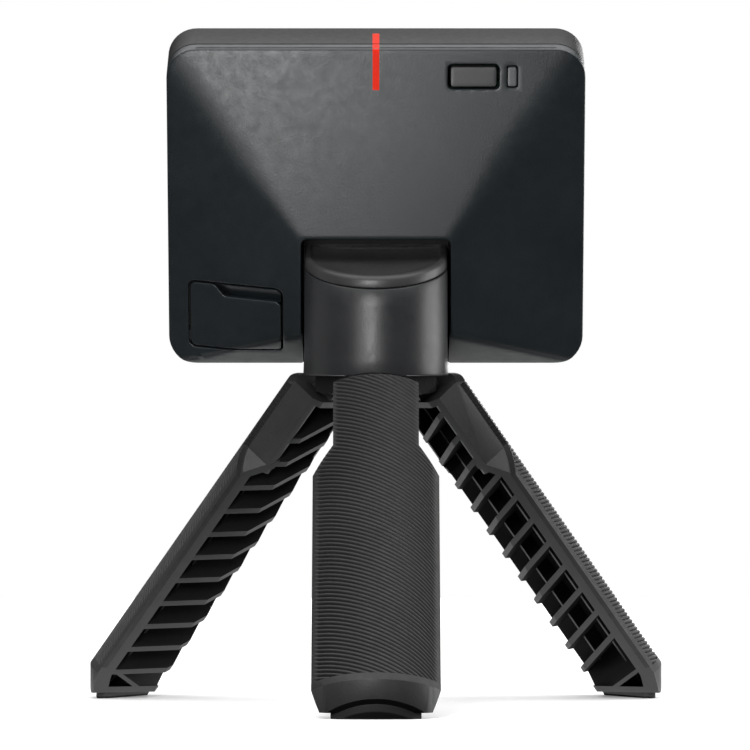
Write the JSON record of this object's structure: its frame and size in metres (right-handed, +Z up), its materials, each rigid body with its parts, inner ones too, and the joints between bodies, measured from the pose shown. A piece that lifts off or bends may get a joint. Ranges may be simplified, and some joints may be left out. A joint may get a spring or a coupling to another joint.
{
  "type": "launch monitor",
  "caption": "Portable radar unit with a sloped back, docked by magnets on a round neck over a mini tripod whose legs fold into a handle.",
  "frame": {"origin": "centre of the bounding box's lower face, on the floor under the tripod", "axes": "+Z up, the unit's sloped back with its button and port looks to -Y, its radar face to +Y, +X to the right seen from -Y"},
  "size_m": [0.1242, 0.1116, 0.1445],
  "materials": {
    "shell": "fine moulded texture",
    "front_shell": "fine moulded texture",
    "front_face": "smooth satin",
    "mark_red": "satin inlay",
    "button_plastic": "fine satin",
    "light_pipe": "translucent smoke",
    "seal_rubber": "matt",
    "neck_plastic": "smooth satin",
    "cap_plastic": "satin",
    "hub_plastic": "dull moulded",
    "leg_plastic": "moulded glass-filled",
    "grip_rubber": "grooved",
    "foot_rubber": "matt",
    "steel": "machined",
    "brass": "machined",
    "magnet": "nickel plated",
    "board": "solder mask",
    "copper": "gold flash",
    "battery_wrap": "foil pouch",
    "foam": "foam",
    "chip_black": "moulded"
  },
  "bodies": {
    "hub": {"hub_body": "hub_plastic", "hub_stud": "steel", "hub_washer": "seal_rubber", "leg_pin_front": "steel", "leg_pin_right": "steel", "leg_pin_left": "steel"},
    "leg_front": {"leg_front": "leg_plastic", "grip_front": "grip_rubber", "foot_front": "foot_rubber"},
    "leg_right": {"leg_right": "leg_plastic", "grip_right": "grip_rubber", "foot_right": "foot_rubber"},
    "leg_left": {"leg_left": "leg_plastic", "grip_left": "grip_rubber", "foot_left": "foot_rubber"},
    "neck": {"mount_neck": "neck_plastic", "mount_cap": "cap_plastic", "thread_insert": "brass", "dock_magnets": "magnet"},
    "unit": {"rear_housing": "shell", "housing_seal": "seal_rubber", "front_housing": "front_shell", "front_cover": "front_face", "alignment_stripe": "mark_red", "housing_screws": "steel", "light_pipe": "light_pipe", "main_board": "board", "board_screws": "steel", "tactile_switch": "chip_black", "status_led": "light_pipe", "usb_connector": "steel", "board_shield": "steel", "battery_pad": "foam", "battery_cell": "battery_wrap", "board_connector": "chip_black", "antenna_board": "board", "antenna_patches": "copper", "antenna_gasket": "foam", "dock_plate": "steel"},
    "power_button": {"power_button": "button_plastic"},
    "port_cover": {"port_cover": "shell"}
  },
  "joints": [
    {"name": "fold_front_leg", "type": "hinge", "parent": "hub", "child": "leg_front", "pos_m": [0, 0.00545, 0.07215], "axis": [1, 0, 0], "range_deg": [0, 39]},
    {"name": "fold_right_leg", "type": "hinge", "parent": "hub", "child": "leg_right", "pos_m": [0.00693, 0.01745, 0.07215], "axis": [-0.5, 0.866, 0], "range_deg": [0, 39]},
    {"name": "fold_left_leg", "type": "hinge", "parent": "hub", "child": "leg_left", "pos_m": [-0.00693, 0.01745, 0.07215], "axis": [-0.5, -0.866, 0], "range_deg": [0, 39]},
    {"name": "swivel", "type": "hinge", "parent": "hub", "child": "neck", "pos_m": [0, 0.01345, 0.0787], "axis": [0, 0, 1], "continuous": true},
    {"name": "undock", "type": "slide", "parent": "neck", "child": "unit", "axis": [0, 0.9426, 0.3338], "range_m": [0, 0.03]},
    {"name": "press_power", "type": "slide", "parent": "unit", "child": "power_button", "axis": [0, 0.9934, 0.1144], "range_m": [0, 0.0005], "stiffness_N_per_m": 2500, "springref_m": -0.0003},
    {"name": "open_port_cover", "type": "hinge", "parent": "unit", "child": "port_cover", "pos_m": [-0.0397, 0.02146, 0.08341], "axis": [0, 0.3338, -0.9426], "range_deg": [0, 95]}
  ]
}
